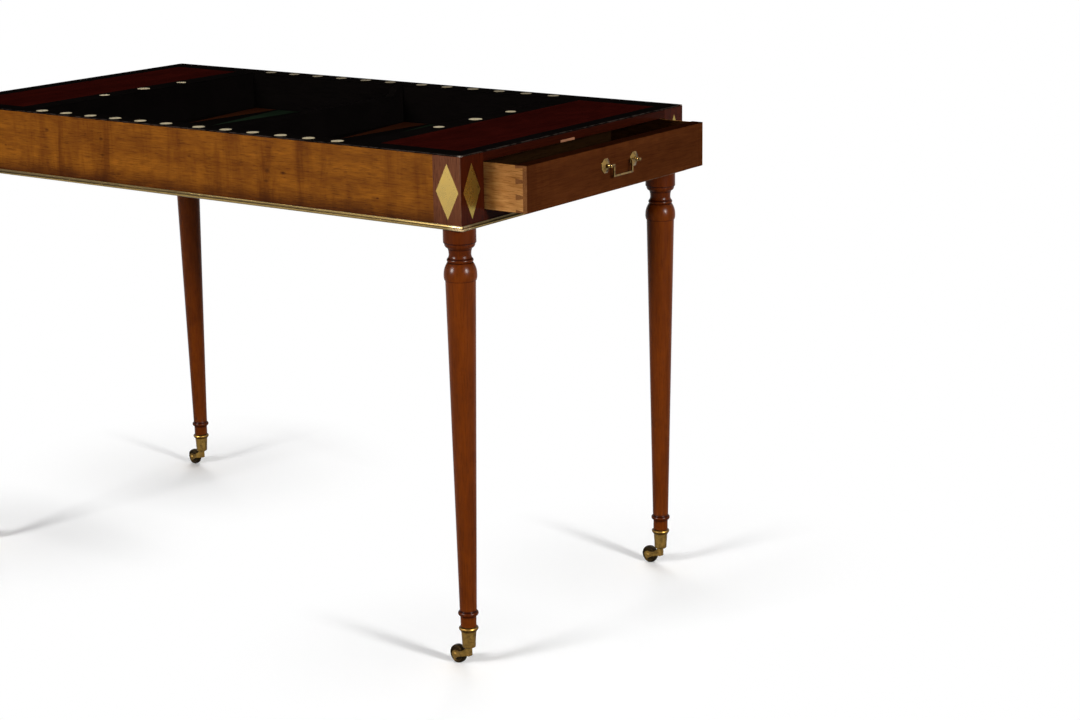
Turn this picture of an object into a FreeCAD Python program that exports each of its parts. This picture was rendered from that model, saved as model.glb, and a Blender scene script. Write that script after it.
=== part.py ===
import FreeCAD, Part
import math
import os

V = FreeCAD.Vector

# What a quarter round still lacks at its middle, as a share of its radius
ROUND_MIDDLE = 1 - math.sqrt(0.5)

# Overall sizes of the table without its loose top, in millimetres
LENGTH = 1035.0
WIDTH = 553.0
HEIGHT = 730.0
HALF_L = LENGTH / 2
HALF_W = WIDTH / 2

# Frame: aprons, corner blocks and end rails
FRAME_BOTTOM = 629.5
RIM_T = 2.0
FRAME_TOP = HEIGHT - RIM_T
APRON_T = 22.0
BLOCK_X = 47.0
BLOCK_Y = 50.0
BLOCK_IN_X = HALF_L - BLOCK_X
BLOCK_IN_Y = HALF_W - BLOCK_Y
APRON_IN = HALF_W - APRON_T
TENON_T = 8.0
TENON_L = 18.0
TENON_INSET = 4.0
TENON_SHOULDER = 16.0
OPENING_BOTTOM = 650.0
OPENING_TOP = 716.0
TAIL_L = 16.0
TAIL_NECK = 12.0
TAIL_END = 19.0
SLIP_L = 34.0
SLIP_H = 3.5
SLIP_D = 4.0
SLIP_Y = -28.0

# Brass trim on the frame
MOULDING_H = 6.5
MOULDING_D = 4.5
MOULDING_EASE = 1.0
MOULDING_NOSE = 3.0
MOULDING_HOLLOW = 2.3
MOULDING_FILLET = 0.8
LOZENGE_W = 37.5
LOZENGE_H = 75.5
LOZENGE_T = 1.2
LOZENGE_Z = 680.0
LOZENGE_INSET = 23.5

# Playing well and the surfaces round it
RIM_LONG_W = 34.0
RIM_END_W = 26.0
BAND_W = 34.0
PITCH = 52.0
POINTS_PER_SIDE = 6
DIVIDER_T = 13.0
WELL_END = DIVIDER_T / 2 + POINTS_PER_SIDE * PITCH
BAND_END = WELL_END + BAND_W
PANEL_END = HALF_L - RIM_END_W
WELL_SIDE = HALF_W - RIM_LONG_W
WALL_T = 12.0
FLOOR_TOP = 670.0
FLOOR_T = 12.0
DIVIDER_TOP = 714.0
OGEE_RUN = 31.0
OGEE_LAND = 4.0
OGEE_BEND = 0.42
OGEE_BELLY = 0.16
POINT_BASE = 46.0
POINT_L = 190.0
POINT_T = 1.0
PANEL_SINK = 1.0
PANEL_BOTTOM = 720.0
DISC_R = 9.0
BAND_DISC_R = 8.0
MIDDLE_DISC_R = 10.0
BAND_DISC_STEP = 87.0
PEG_R = 1.5
PEG_DEPTH = 12.0
PEG_FLOOR = 1.0
MIDDLE_PEG_R = 2.5

# Drawers, drawn shut; the right one then stands open as photographed
DRAWER_OPEN = 68.0
DRAWER_DEPTH = 165.0
DRAWER_GAP = 0.8
DRAWER_SIDE_GAP = 3.0
DRAWER_HALF = BLOCK_IN_Y - DRAWER_SIDE_GAP
FRONT_T = 18.0
LAP_T = 6.0
SIDE_T = 9.0
SIDE_DROP = 1.0
DRAWER_TAILS = 3
DRAWER_TAIL_NECK = 13.0
DRAWER_TAIL_END = 17.0
BOTTOM_T = 6.0
BOTTOM_RAISE = 4.2
GROOVE_D = 4.0
BACK_DROP = 6.0
RUNNER_T = 10.0
RUNNER_IN = 204.0
GUIDE_H = 10.0
KICKER_IN = 200.0
STOP_W = 16.0
STOP_H = 8.0
STOP_GAP = 0.5
CLEAT = 14.0

# Drawer pull: two faceted rosettes, two posts and a bail hung between them
PULL_Z = 688.0
POST_Y = 36.0
ROSETTE_R = 11.0
ROSETTE_TOP_R = 5.0
ROSETTE_T = 4.0
ROSETTE_PLINTH = 1.2
FACETS = 8
SHANK_R = 2.0
SHANK_FIT = 0.1
NUT = 8.0
NUT_T = 3.0
PIVOT_OUT = 6.2
PIVOT_R = 1.2
PIVOT_FIT = 0.05
PIVOT_OVER = 1.5
KNUCKLE_R = 3.2
KNUCKLE_HALF = 2.0
FINIAL_OUT = 10.4
FINIAL_R = 2.4
FINIAL_HALF = 1.8
BAIL_HALF = 23.0
BAIL_DROP = 15.7
BAIL_T = 2.8
BAIL_EASE = 0.6
BAIL_GAP = 0.5
BAIL_END = POST_Y - KNUCKLE_R - BAIL_GAP

# Brass casters
CUP_BOTTOM = 28.9
CUP_FLOOR = 32.0
CUP_TOP = 60.6
CUP_FOOT_R = 7.6
CUP_HEEL_R = 9.4
CUP_HEEL_H = 1.9
CUP_NECK_R = 10.7
CUP_NECK = 52.6
CUP_COLLAR_R = 11.7
CUP_COLLAR_H = 0.7
CUP_BEAD_LOW = 54.6
CUP_BEAD_R = 13.8
CUP_BEAD_HIGH = 60.1
CUP_MOUTH_R = 11.2
CUP_BORE_R = 9.7
CUP_BORE_FOOT_R = 8.2
STEM_R = 2.5
STEM_FIT = 0.06
STEM_HEAD_R = 4.2
STEM_HEAD_T = 1.8
STEM_HEAD_GAP = 0.5
WHEEL_R = 13.5
WHEEL_T = 9.0
WHEEL_CROWN = 0.9
WHEEL_RIM = 3.4
WHEEL_SINK = 1.3
WHEEL_SLOPE = 0.7
HUB_R = 5.2
TRAIL = 22.0
TRAIL_TURN = -10.0
CHEEK_IN = 5.0
CHEEK_OUT = 7.4
CHEEK_START = 7.0
HORN_GAP = 0.5
HORN_TOP = CUP_BOTTOM - HORN_GAP
HORN_HALF = 3.2
HORN_FLARE = 0.4
HORN_WEB = 2.4
HORN_EASE = 1.0
HORN_ARCH = 2.0
HORN_FOOT = 16.8
HORN_TOE = 15.2
BOSS_R = 6.0
AXLE_R = 2.0
AXLE_FIT = 0.06
RIVET_R = 3.2
RIVET_T = 1.0

# Turned legs, from the dowel in the block down to the spigot in the cup
LEG_X = HALF_L - BLOCK_X / 2
LEG_Y = HALF_W - BLOCK_Y / 2
DOWEL_R = 11.0
DOWEL_TOP = 690.0
DOWEL_FIT = 0.05
DOWEL_EASE = 0.8
COLLAR_R = 22.6
COLLAR_EASE = 0.6
COLLAR_FOOT = 608.6
OVOLO_R = 20.9
OVOLO_TOP = 607.8
OVOLO_MIDDLE = (20.6, 604.2)
OVOLO_FOOT = (18.8, 601.8)
NECK_TOP_R = 17.3
NECK_HOLLOW = (15.8, 597.2)
NECK_WAIST = (15.3, 592.6)
NECK_FLARE = (15.7, 589.0)
RING_TOP = (17.0, 586.6)
RING_OUT = (18.2, 584.3)
RING_FOOT = (17.3, 581.9)
QUIRK = (16.9, 581.5)
BULB_TOP = (17.9, 580.6)
BULB_SHOULDER = (21.4, 573.4)
BULB_BELLY = (22.8, 564.6)
BULB_UNDER = (22.7, 560.6)
BULB_FOOT = (21.9, 557.0)
SHAFT_TOP = (20.9, 556.6)
SHAFT_FOOT = (12.0, 83.9)
BEAD_TOP = (12.3, 83.3)
BEAD_OUT = (14.5, 79.9)
BEAD_FOOT = (12.2, 76.5)
ANKLE_TOP = (11.3, 75.9)
ANKLE_R = 11.2
SPIGOT_GAP = 0.2
SPIGOT_TOP_R = 9.58
SPIGOT_FOOT = (8.35, 37.0)

CORNERS = {
    "front_right": (1, -1),
    "front_left": (-1, -1),
    "back_right": (1, 1),
    "back_left": (-1, 1),
}


def box(x0, x1, y0, y1, z0, z1):
    """A block between two opposite corners."""
    return Part.makeBox(x1 - x0, y1 - y0, z1 - z0, V(x0, y0, z0))


def prism(points, travel):
    """A straight-edged outline pushed along a vector."""
    return Part.Face(Part.makePolygon(points + points[:1])).extrude(travel)


def outline(start, steps, place):
    """A face from straight steps (a, b) and arc steps (mid a, mid b, a, b)."""
    edges = []
    here = start
    for step in steps + [start]:
        there = step[-2:]
        if len(step) == 4:
            edges.append(Part.Arc(place(*here), place(*step[:2]), place(*there)).toShape())
        else:
            edges.append(Part.makeLine(place(*here), place(*there)))
        here = there
    return Part.Face(Part.Wire(edges))


def turned(start, steps):
    """A body turned on the Z axis from (radius, height) steps."""
    face = outline(start, steps, lambda r, z: V(r, 0, z))
    return face.revolve(V(0, 0, 0), V(0, 0, 1), 360)


def flip_x(shape):
    """The same shape at the other end of the table."""
    return shape.mirror(V(0, 0, 0), V(1, 0, 0))


def flip_y(shape):
    """The same shape on the other long side."""
    return shape.mirror(V(0, 0, 0), V(0, 1, 0))


def at_corner(shape, corner):
    """Mirrors a shape drawn at the back right corner to a named corner."""
    side_x, side_y = CORNERS[corner]
    placed = shape if side_x > 0 else flip_x(shape)
    return placed if side_y > 0 else flip_y(placed)


def both_ends(shape):
    """A shape and its mirror at the left end."""
    return [shape, flip_x(shape)]


def both_sides(shape):
    """A shape and its mirror on the front side."""
    return [shape, flip_y(shape)]


def peg_places():
    """X positions of the peg holes along one long rim."""
    right = [DIVIDER_T / 2 + PITCH * (k + 0.5) for k in range(POINTS_PER_SIDE)]
    return right + [-x for x in right]


def apron_tenon():
    """The tongue that joins the back apron to the back right block."""
    outer = HALF_W - TENON_INSET
    return box(BLOCK_IN_X, BLOCK_IN_X + TENON_L, outer - TENON_T, outer,
               FRAME_BOTTOM + TENON_SHOULDER, FRAME_TOP - TENON_SHOULDER)


def rail_dovetail():
    """The flat dovetail that ties the top rail into the back right block."""
    middle = (PANEL_END + HALF_L) / 2
    points = [
        V(middle - TAIL_NECK / 2, BLOCK_IN_Y, OPENING_TOP),
        V(middle + TAIL_NECK / 2, BLOCK_IN_Y, OPENING_TOP),
        V(middle + TAIL_END / 2, BLOCK_IN_Y + TAIL_L, OPENING_TOP),
        V(middle - TAIL_END / 2, BLOCK_IN_Y + TAIL_L, OPENING_TOP),
    ]
    return prism(points, V(0, 0, FRAME_TOP - OPENING_TOP))


def rail_tenon():
    """The tongue that joins the bottom rail to the back right block."""
    outer = HALF_L - TENON_T
    return box(outer - TENON_T, outer, BLOCK_IN_Y, BLOCK_IN_Y + TENON_T,
               FRAME_BOTTOM + TENON_INSET, OPENING_BOTTOM - TENON_INSET)


def lozenges():
    """The two brass lozenges let into the back right block."""
    long_side = prism([
        V(HALF_L - LOZENGE_INSET - LOZENGE_W / 2, HALF_W, LOZENGE_Z),
        V(HALF_L - LOZENGE_INSET, HALF_W, LOZENGE_Z - LOZENGE_H / 2),
        V(HALF_L - LOZENGE_INSET + LOZENGE_W / 2, HALF_W, LOZENGE_Z),
        V(HALF_L - LOZENGE_INSET, HALF_W, LOZENGE_Z + LOZENGE_H / 2),
    ], V(0, -LOZENGE_T, 0))
    end_side = prism([
        V(HALF_L, HALF_W - LOZENGE_INSET - LOZENGE_W / 2, LOZENGE_Z),
        V(HALF_L, HALF_W - LOZENGE_INSET, LOZENGE_Z - LOZENGE_H / 2),
        V(HALF_L, HALF_W - LOZENGE_INSET + LOZENGE_W / 2, LOZENGE_Z),
        V(HALF_L, HALF_W - LOZENGE_INSET, LOZENGE_Z + LOZENGE_H / 2),
    ], V(-LOZENGE_T, 0, 0))
    return [long_side, end_side]


def corner_block():
    """The back right block, cut for tenons, dowel, lozenges and panel."""
    block = box(BLOCK_IN_X, HALF_L, BLOCK_IN_Y, HALF_W, FRAME_BOTTOM, FRAME_TOP)
    socket = Part.makeCylinder(DOWEL_R + DOWEL_FIT, DOWEL_TOP - FRAME_BOTTOM, V(LEG_X, LEG_Y, FRAME_BOTTOM))
    notch = box(BLOCK_IN_X, PANEL_END, BLOCK_IN_Y, WELL_SIDE, PANEL_BOTTOM, FRAME_TOP)
    cuts = [socket, notch, apron_tenon(), rail_dovetail(), rail_tenon()] + lozenges()
    return block.cut(Part.makeCompound(cuts))


def apron():
    """The back apron with a tenon at each end and its blind peg holes."""
    board = box(-BLOCK_IN_X, BLOCK_IN_X, APRON_IN, HALF_W, FRAME_BOTTOM, FRAME_TOP)
    board = board.fuse(both_ends(apron_tenon())).removeSplitter()
    holes = [
        Part.makeCylinder(PEG_R, PEG_DEPTH, V(x, HALF_W - RIM_LONG_W / 2, FRAME_TOP - PEG_DEPTH))
        for x in peg_places()
    ]
    return board.cut(holes)


def top_rail():
    """The rail over the right drawer, with a dovetail at each end."""
    rail = box(PANEL_END, HALF_L, -BLOCK_IN_Y, BLOCK_IN_Y, OPENING_TOP, FRAME_TOP)
    return rail.fuse(both_sides(rail_dovetail())).removeSplitter()


def rail_slip():
    """The pale slip let into the lower edge of the right top rail."""
    return box(HALF_L - SLIP_D, HALF_L, SLIP_Y - SLIP_L / 2, SLIP_Y + SLIP_L / 2,
               OPENING_TOP, OPENING_TOP + SLIP_H)


def bottom_rail():
    """The rail under the right drawer, with a tenon at each end."""
    rail = box(HALF_L - APRON_T, HALF_L, -BLOCK_IN_Y, BLOCK_IN_Y, FRAME_BOTTOM, OPENING_BOTTOM)
    return rail.fuse(both_sides(rail_tenon())).removeSplitter()


def moulding_section(place):
    """The section of the brass moulding: square foot, round nose and hollow."""
    depth = MOULDING_D
    top = FRAME_BOTTOM + MOULDING_H
    inner = depth - MOULDING_HOLLOW
    nose = FRAME_BOTTOM + MOULDING_NOSE
    bend = MOULDING_EASE * ROUND_MIDDLE
    steps = [
        (depth - MOULDING_EASE, FRAME_BOTTOM),
        (depth - bend, FRAME_BOTTOM + bend, depth, FRAME_BOTTOM + MOULDING_EASE),
        (depth, nose),
        (inner + MOULDING_FILLET, nose + MOULDING_FILLET, inner, top - MOULDING_FILLET),
        (inner, top),
        (0, top),
    ]
    return outline((0, FRAME_BOTTOM), steps, place)


def moulding():
    """The brass moulding round the frame's foot, four mitred lengths."""
    far_x = HALF_L + MOULDING_D
    far_y = HALF_W + MOULDING_D
    long_strip = moulding_section(lambda d, z: V(-far_x, HALF_W + d, z)).extrude(V(2 * far_x, 0, 0))
    long_mitre = prism([
        V(-HALF_L, HALF_W, FRAME_BOTTOM), V(HALF_L, HALF_W, FRAME_BOTTOM),
        V(far_x, far_y, FRAME_BOTTOM), V(-far_x, far_y, FRAME_BOTTOM),
    ], V(0, 0, MOULDING_H))
    end_strip = moulding_section(lambda d, z: V(HALF_L + d, -far_y, z)).extrude(V(0, 2 * far_y, 0))
    end_mitre = prism([
        V(HALF_L, -HALF_W, FRAME_BOTTOM), V(HALF_L, HALF_W, FRAME_BOTTOM),
        V(far_x, far_y, FRAME_BOTTOM), V(far_x, -far_y, FRAME_BOTTOM),
    ], V(0, 0, MOULDING_H))
    return both_sides(long_strip.common(long_mitre)) + both_ends(end_strip.common(end_mitre))


def disc_places():
    """Each bone disc as (x, y, disc radius, peg hole radius)."""
    rim_y = HALF_W - RIM_LONG_W / 2
    places = [(x, y, DISC_R, PEG_R) for x in peg_places() for y in (-rim_y, rim_y)]
    for x in (-(WELL_END + BAND_W / 2), WELL_END + BAND_W / 2):
        places.append((x, 0, MIDDLE_DISC_R, MIDDLE_PEG_R))
        places.append((x, -BAND_DISC_STEP, BAND_DISC_R, PEG_R))
        places.append((x, BAND_DISC_STEP, BAND_DISC_R, PEG_R))
    return places


def disc_recesses():
    """The round holes that the discs need in the ebonised surfaces."""
    return Part.makeCompound([
        Part.makeCylinder(disc_r, RIM_T, V(x, y, FRAME_TOP)) for x, y, disc_r, _ in disc_places()
    ])


def bone_discs():
    """Thirty flush bone discs, each with its peg hole."""
    discs = []
    for x, y, disc_r, peg_r in disc_places():
        disc = Part.makeCylinder(disc_r, RIM_T, V(x, y, FRAME_TOP))
        discs.append(disc.cut(Part.makeCylinder(peg_r, RIM_T, V(x, y, FRAME_TOP))))
    return discs


def long_rims():
    """The ebonised rims of the long sides, mitred to the end rims."""
    rim = prism([
        V(-HALF_L, HALF_W, FRAME_TOP), V(HALF_L, HALF_W, FRAME_TOP),
        V(PANEL_END, WELL_SIDE, FRAME_TOP), V(-PANEL_END, WELL_SIDE, FRAME_TOP),
    ], V(0, 0, RIM_T))
    return [side.cut(disc_recesses()) for side in both_sides(rim)]


def end_rims():
    """The ebonised rims of the short sides."""
    rim = prism([
        V(HALF_L, -HALF_W, FRAME_TOP), V(HALF_L, HALF_W, FRAME_TOP),
        V(PANEL_END, WELL_SIDE, FRAME_TOP), V(PANEL_END, -WELL_SIDE, FRAME_TOP),
    ], V(0, 0, RIM_T))
    return both_ends(rim)


def well_bands():
    """The ebonised bands between the well and the end panels."""
    band = box(WELL_END, BAND_END, -WELL_SIDE, WELL_SIDE, FRAME_TOP, HEIGHT)
    return both_ends(band.cut(disc_recesses()))


def end_panel():
    """The mahogany panel over the right drawer, a little below the rim."""
    return box(BAND_END, PANEL_END, -WELL_SIDE, WELL_SIDE, PANEL_BOTTOM, HEIGHT - PANEL_SINK)


def well_linings():
    """The boards that line the long sides of the well and the drawer bays."""
    board = box(-BLOCK_IN_X, BLOCK_IN_X, WELL_SIDE, APRON_IN, FLOOR_TOP, FRAME_TOP)
    return both_sides(board)


def well_end_walls():
    """The end walls of the well, each with a ledge that carries its band."""
    section = [
        V(WELL_END, -WELL_SIDE, FLOOR_TOP), V(WELL_END, -WELL_SIDE, FRAME_TOP),
        V(BAND_END, -WELL_SIDE, FRAME_TOP), V(BAND_END, -WELL_SIDE, PANEL_BOTTOM),
        V(WELL_END + WALL_T, -WELL_SIDE, PANEL_BOTTOM), V(WELL_END + WALL_T, -WELL_SIDE, FLOOR_TOP),
    ]
    wall = prism(section, V(0, 2 * WELL_SIDE, 0))
    pegs = [
        Part.makeCylinder(peg_r, FRAME_TOP - PANEL_BOTTOM - PEG_FLOOR, V(x, y, PANEL_BOTTOM + PEG_FLOOR))
        for x, y, _, peg_r in disc_places() if x > WELL_END
    ]
    return both_ends(wall.cut(pegs))


def points():
    """Long tapering points as (odd set, even set), one per peg hole."""
    sets = ([], [])
    for k in range(POINTS_PER_SIDE):
        x = DIVIDER_T / 2 + PITCH * (k + 0.5)
        point = prism([
            V(x - POINT_BASE / 2, WELL_SIDE, FLOOR_TOP - POINT_T),
            V(x + POINT_BASE / 2, WELL_SIDE, FLOOR_TOP - POINT_T),
            V(x, WELL_SIDE - POINT_L, FLOOR_TOP - POINT_T),
        ], V(0, 0, POINT_T))
        sets[k % 2].extend([point, flip_x(flip_y(point))])
        sets[(k + 1) % 2].extend([flip_x(point), flip_y(point)])
    return sets


def well_floor():
    """The floor board of the well, let out for the inlaid points."""
    edge = WELL_END + WALL_T
    board = box(-edge, edge, -APRON_IN, APRON_IN, FLOOR_TOP - FLOOR_T, FLOOR_TOP)
    odd, even = points()
    return board.cut(Part.makeCompound(odd + even))


def well_divider():
    """The bar across the well, low in the middle, with an ogee up to each wall."""
    wall = WELL_SIDE
    crest = wall - OGEE_LAND
    foot = wall - OGEE_RUN
    turn_y = (crest + foot) / 2
    turn_z = (HEIGHT + DIVIDER_TOP) / 2
    belly = (HEIGHT - DIVIDER_TOP) * OGEE_BELLY
    reach = (crest - foot) / 2 * OGEE_BEND
    steps = [
        (wall, HEIGHT),
        (crest, HEIGHT),
        (turn_y + reach, HEIGHT - belly, turn_y, turn_z),
        (turn_y - reach, DIVIDER_TOP + belly, foot, DIVIDER_TOP),
        (-foot, DIVIDER_TOP),
        (reach - turn_y, DIVIDER_TOP + belly, -turn_y, turn_z),
        (-reach - turn_y, HEIGHT - belly, -crest, HEIGHT),
        (-wall, HEIGHT),
        (-wall, FLOOR_TOP),
    ]
    face = outline((wall, FLOOR_TOP), steps, lambda y, z: V(-DIVIDER_T / 2, y, z))
    return face.extrude(V(DIVIDER_T, 0, 0))


def floor_cleats():
    """The strips glued to the aprons that carry the well's floor."""
    top = FLOOR_TOP - FLOOR_T
    return both_sides(box(-WELL_END, WELL_END, APRON_IN - CLEAT, APRON_IN, top - CLEAT, top))


def panel_bearers():
    """The strips under the end panels, which also keep the drawers from tipping."""
    bottom = OPENING_TOP - DRAWER_GAP
    strip = box(BAND_END, BLOCK_IN_X, KICKER_IN, WELL_SIDE, bottom, PANEL_BOTTOM)
    return [end for side in both_sides(strip) for end in both_ends(side)]


def drawer_runners():
    """The four runners: a ledge under each drawer side and a guide beside it."""
    start = WELL_END + WALL_T
    low = OPENING_BOTTOM - RUNNER_T
    high = OPENING_BOTTOM + GUIDE_H
    section = [
        V(start, RUNNER_IN, low), V(start, APRON_IN, low), V(start, APRON_IN, high),
        V(start, BLOCK_IN_Y, high), V(start, BLOCK_IN_Y, OPENING_BOTTOM), V(start, RUNNER_IN, OPENING_BOTTOM),
    ]
    runner = prism(section, V(BLOCK_IN_X - start, 0, 0))
    tongue = box(BLOCK_IN_X, HALF_L - APRON_T, RUNNER_IN, BLOCK_IN_Y, low, OPENING_BOTTOM)
    runner = runner.fuse(tongue).removeSplitter()
    return [end for side in both_sides(runner) for end in both_ends(side)]


def drawer_stops():
    """The small blocks on the runners that a shut drawer meets."""
    start = WELL_END + WALL_T
    end = HALF_L - DRAWER_DEPTH - STOP_GAP
    stop = box(start, end, RUNNER_IN, RUNNER_IN + STOP_W, OPENING_BOTTOM, OPENING_BOTTOM + STOP_H)
    return [other for side in both_sides(stop) for other in both_ends(side)]


class DrawerSizes:
    """Places that the pieces of the shut right drawer share."""

    low = OPENING_BOTTOM + DRAWER_GAP
    high = OPENING_TOP - DRAWER_GAP
    side_high = high - SIDE_DROP
    back = HALF_L - DRAWER_DEPTH
    back_in = back + SIDE_T
    front_in = HALF_L - FRONT_T
    side_in = DRAWER_HALF - SIDE_T
    bottom_low = low + BOTTOM_RAISE
    bottom_high = bottom_low + BOTTOM_T


def side_tail(base_x, tip_x, middle_z):
    """One dovetail on a drawer side, widening from base to tip."""
    neck = DRAWER_TAIL_NECK / 2
    end = DRAWER_TAIL_END / 2
    inner = DrawerSizes.side_in
    return prism([
        V(base_x, inner, middle_z - neck), V(base_x, inner, middle_z + neck),
        V(tip_x, inner, middle_z + end), V(tip_x, inner, middle_z - end),
    ], V(0, SIDE_T, 0))


def drawer_side():
    """The drawer's back side, with lapped tails in front and through tails behind."""
    size = DrawerSizes
    side = box(size.back_in, size.front_in, size.side_in, DRAWER_HALF, size.low, size.side_high)
    step = (size.side_high - size.low) / DRAWER_TAILS
    tails = []
    for k in range(DRAWER_TAILS):
        middle = size.low + step * (k + 0.5)
        tails.append(side_tail(size.front_in, HALF_L - LAP_T, middle))
        tails.append(side_tail(size.back_in, size.back, middle))
    side = side.fuse(tails).removeSplitter()
    groove = box(size.back, HALF_L - LAP_T, size.side_in, size.side_in + GROOVE_D,
                 size.bottom_low, size.bottom_high)
    return side.cut(groove)


def drawer_bottom():
    """The thin board held in the grooves of the sides and front."""
    size = DrawerSizes
    half = size.side_in + GROOVE_D
    return box(size.back, size.front_in + GROOVE_D, -half, half, size.bottom_low, size.bottom_high)


def drawer_front(sides, bottom):
    """The drawer front, cut for the tails, the bottom and the pull's shanks."""
    size = DrawerSizes
    front = box(size.front_in, HALF_L, -DRAWER_HALF, DRAWER_HALF, size.low, size.high)
    holes = [
        Part.makeCylinder(SHANK_R + SHANK_FIT, FRONT_T, V(size.front_in, y, PULL_Z), V(1, 0, 0))
        for y in (-POST_Y, POST_Y)
    ]
    return front.cut(sides + [bottom] + holes)


def drawer_back(sides):
    """The drawer's back board, pinned between the tails of the sides."""
    size = DrawerSizes
    back = box(size.back, size.back_in, -DRAWER_HALF, DRAWER_HALF, size.bottom_high, size.high - BACK_DROP)
    return back.cut(sides)


def octagon(radius, x):
    """A faceted outline on a plane across X, with flats up and down."""
    turns = [2 * math.pi * (k + 0.5) / FACETS for k in range(FACETS)]
    points = [V(x, radius * math.cos(a), radius * math.sin(a)) for a in turns]
    return Part.makePolygon(points + points[:1])


def rosette():
    """A faceted eight-sided rosette on the drawer front, holed for its post."""
    face = HALF_L + ROSETTE_PLINTH
    foot = Part.makeLoft([octagon(ROSETTE_R, HALF_L), octagon(ROSETTE_R, face)], True, True)
    crown = Part.makeLoft([octagon(ROSETTE_R, face), octagon(ROSETTE_TOP_R, HALF_L + ROSETTE_T)], True, True)
    hole = Part.makeCylinder(SHANK_R + SHANK_FIT, ROSETTE_T, V(HALF_L, 0, 0), V(1, 0, 0))
    whole = foot.fuse(crown).removeSplitter().cut(hole)
    return whole.translated(V(0, POST_Y, PULL_Z))


def pull_post():
    """A turned post: a knuckle that the bail's pivot enters and a small finial."""
    knuckle_foot = math.sqrt(KNUCKLE_R ** 2 - (PIVOT_OUT - ROSETTE_T) ** 2)
    knuckle_top = math.sqrt(KNUCKLE_R ** 2 - KNUCKLE_HALF ** 2)
    finial = math.sqrt(FINIAL_R ** 2 - FINIAL_HALF ** 2)
    post = turned((0, -FRONT_T - NUT_T), [
        (SHANK_R, -FRONT_T - NUT_T),
        (SHANK_R, ROSETTE_T),
        (knuckle_foot, ROSETTE_T),
        (KNUCKLE_R, PIVOT_OUT, knuckle_top, PIVOT_OUT + KNUCKLE_HALF),
        (finial, FINIAL_OUT - FINIAL_HALF),
        (FINIAL_R, FINIAL_OUT, finial, FINIAL_OUT + FINIAL_HALF),
        (0, FINIAL_OUT + FINIAL_HALF),
    ])
    hole = Part.makeCylinder(PIVOT_R + PIVOT_FIT, 2 * KNUCKLE_R, V(0, -KNUCKLE_R, PIVOT_OUT), V(0, 1, 0))
    post = post.cut(hole)
    post.rotate(V(0, 0, 0), V(0, 1, 0), 90)
    return post.translated(V(HALF_L, POST_Y, PULL_Z))


def pull_nut():
    """The square nut that holds a post from inside the drawer."""
    inner = DrawerSizes.front_in
    half = NUT / 2
    nut = box(inner - NUT_T, inner, POST_Y - half, POST_Y + half, PULL_Z - half, PULL_Z + half)
    bore = Part.makeCylinder(SHANK_R + SHANK_FIT, NUT_T, V(inner - NUT_T, POST_Y, PULL_Z), V(1, 0, 0))
    return nut.cut(bore)


def bail():
    """The square-cornered bail with a pivot at each end."""
    half = BAIL_T / 2
    inner = BAIL_HALF - half
    outer = BAIL_HALF + half
    right = [
        (inner, half - BAIL_DROP), (inner, half), (BAIL_END, half),
        (BAIL_END, -half), (outer, -half), (outer, -half - BAIL_DROP),
    ]
    left = [(-y, z) for y, z in reversed(right)]
    pivot_x = HALF_L + PIVOT_OUT
    bar = prism([V(pivot_x - half, y, PULL_Z + z) for y, z in right + left], V(BAIL_T, 0, 0))
    bar = bar.makeFillet(BAIL_EASE, [edge for edge in bar.Edges if edge.Length > 2 * BAIL_T])
    pivot_l = POST_Y + PIVOT_OVER - BAIL_END
    pivot = Part.makeCylinder(PIVOT_R, pivot_l, V(pivot_x, BAIL_END, PULL_Z), V(0, 1, 0))
    return bar.fuse(both_sides(pivot))


def drawer_pieces():
    """Every node of the shut right drawer and its pull."""
    sides = both_sides(drawer_side())
    bottom = drawer_bottom()
    return {
        "drawer_front": [drawer_front(sides, bottom)],
        "drawer_sides": sides,
        "drawer_back": [drawer_back(sides)],
        "drawer_bottom": [bottom],
        "pull_rosettes": both_sides(rosette()),
        "pull_posts": both_sides(pull_post()) + both_sides(pull_nut()),
        "pull_bail": [bail()],
    }


def leg():
    """A turned, tapering leg with a dowel above and a spigot for its caster."""
    spigot_top = CUP_TOP + SPIGOT_GAP
    return turned((0, DOWEL_TOP), [
        (DOWEL_R - DOWEL_EASE, DOWEL_TOP),
        (DOWEL_R, DOWEL_TOP - DOWEL_EASE),
        (DOWEL_R, FRAME_BOTTOM),
        (COLLAR_R - COLLAR_EASE, FRAME_BOTTOM),
        (COLLAR_R, FRAME_BOTTOM - COLLAR_EASE),
        (COLLAR_R, COLLAR_FOOT),
        (COLLAR_R - COLLAR_EASE, OVOLO_TOP),
        (OVOLO_R, OVOLO_TOP),
        OVOLO_MIDDLE + OVOLO_FOOT,
        (NECK_TOP_R, OVOLO_FOOT[1]),
        NECK_HOLLOW + NECK_WAIST,
        NECK_FLARE + RING_TOP,
        RING_OUT + RING_FOOT,
        QUIRK,
        BULB_TOP,
        BULB_SHOULDER + BULB_BELLY,
        BULB_UNDER + BULB_FOOT,
        SHAFT_TOP,
        SHAFT_FOOT,
        BEAD_TOP,
        BEAD_OUT + BEAD_FOOT,
        ANKLE_TOP,
        (ANKLE_R, spigot_top),
        (SPIGOT_TOP_R, spigot_top),
        SPIGOT_FOOT,
        (0, SPIGOT_FOOT[1]),
    ])


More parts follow.
